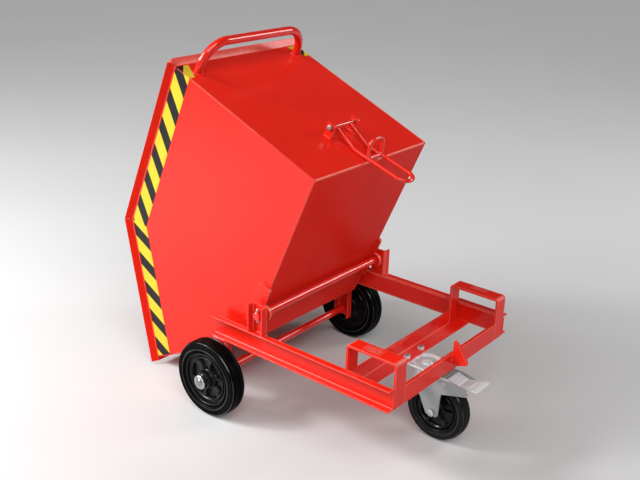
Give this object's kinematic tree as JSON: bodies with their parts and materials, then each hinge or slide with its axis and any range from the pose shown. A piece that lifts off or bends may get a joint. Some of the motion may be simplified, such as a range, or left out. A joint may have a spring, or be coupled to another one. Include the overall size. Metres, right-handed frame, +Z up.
{
  "type": "box trolley",
  "caption": "Box trolley whose sheet-steel tub tips forward to pour over its fixed wheels, with a braked swivel castor, a push handle and a drop latch on a channel frame.",
  "frame": {"origin": "floor level, at the middle of the box around the trolley with its tub tipped", "axes": "+X towards the person who pushes it (castor end), +Y to that person's right, +Z up"},
  "size_m": [0.9842, 0.6628, 0.9122],
  "materials": {
    "red_paint": "gloss red paint on steel",
    "zinc": "bright zinc plate",
    "black_plastic": "moulded black",
    "bearing_steel": "plain steel",
    "tyre_rubber": "solid black rubber",
    "striped_tape": "yellow and black stripes"
  },
  "bodies": {
    "chassis": {"left_rail": "red_paint", "right_rail": "red_paint", "left_post": "red_paint", "right_post": "red_paint", "left_hanger": "red_paint", "right_hanger": "red_paint", "left_rest": "red_paint", "right_rest": "red_paint", "front_angle": "red_paint", "rear_angle": "red_paint", "cross_bar": "red_paint", "catch_hook": "red_paint", "pivot_axle": "red_paint", "pivot_spacers": "red_paint", "pivot_washers": "red_paint", "split_pins": "zinc", "wheel_axle": "red_paint", "axle_spacers": "zinc", "set_collars": "zinc", "collar_screws": "zinc", "castor_plate": "zinc", "castor_bolts": "zinc", "castor_nuts": "zinc", "castor_race": "zinc", "king_pin": "zinc"},
    "tub": {"tub_wrap": "red_paint", "left_panel": "red_paint", "right_panel": "red_paint", "left_ear": "red_paint", "right_ear": "red_paint", "left_tape": "striped_tape", "right_tape": "striped_tape", "handle": "red_paint", "latch_brackets": "red_paint", "latch_bolt": "zinc", "latch_nut": "zinc"},
    "latch": {"latch_loop": "red_paint"},
    "left_wheel": {"left_tyre": "tyre_rubber", "left_rim": "black_plastic", "left_bush": "bearing_steel"},
    "right_wheel": {"right_tyre": "tyre_rubber", "right_rim": "black_plastic", "right_bush": "bearing_steel"},
    "castor": {"castor_fork": "zinc", "castor_axle_bolt": "zinc", "castor_axle_nut": "zinc", "pedal_pin": "zinc"},
    "castor_wheel": {"castor_tyre": "tyre_rubber", "castor_rim": "black_plastic", "castor_bush": "bearing_steel"},
    "brake": {"brake_pedal": "zinc"}
  },
  "joints": [
    {"name": "tub_tip", "type": "hinge", "parent": "chassis", "child": "tub", "pos_m": [0.00812, 0, 0.295], "axis": [0, 1, 0], "range_deg": [0, 66.9]},
    {"name": "latch_swing", "type": "hinge", "parent": "tub", "child": "latch", "pos_m": [0.05162, 0, 0.72654], "axis": [0, -1, 0], "range_deg": [0, 120]},
    {"name": "left_wheel_spin", "type": "hinge", "parent": "chassis", "child": "left_wheel", "pos_m": [-0.11288, 0, 0.1], "axis": [0, 1, 0], "continuous": true},
    {"name": "right_wheel_spin", "type": "hinge", "parent": "chassis", "child": "right_wheel", "pos_m": [-0.11288, 0, 0.1], "axis": [0, 1, 0], "continuous": true},
    {"name": "castor_swivel", "type": "hinge", "parent": "chassis", "child": "castor", "pos_m": [0.33612, 0, 0.1835], "axis": [0, 0, 1], "continuous": true},
    {"name": "castor_wheel_spin", "type": "hinge", "parent": "castor", "child": "castor_wheel", "pos_m": [0.37712, 0, 0.0825], "axis": [0, 1, 0], "continuous": true},
    {"name": "brake_lift", "type": "hinge", "parent": "castor", "child": "brake", "pos_m": [0.40212, 0, 0.169], "axis": [0, -1, 0], "range_deg": [0, 7]}
  ]
}
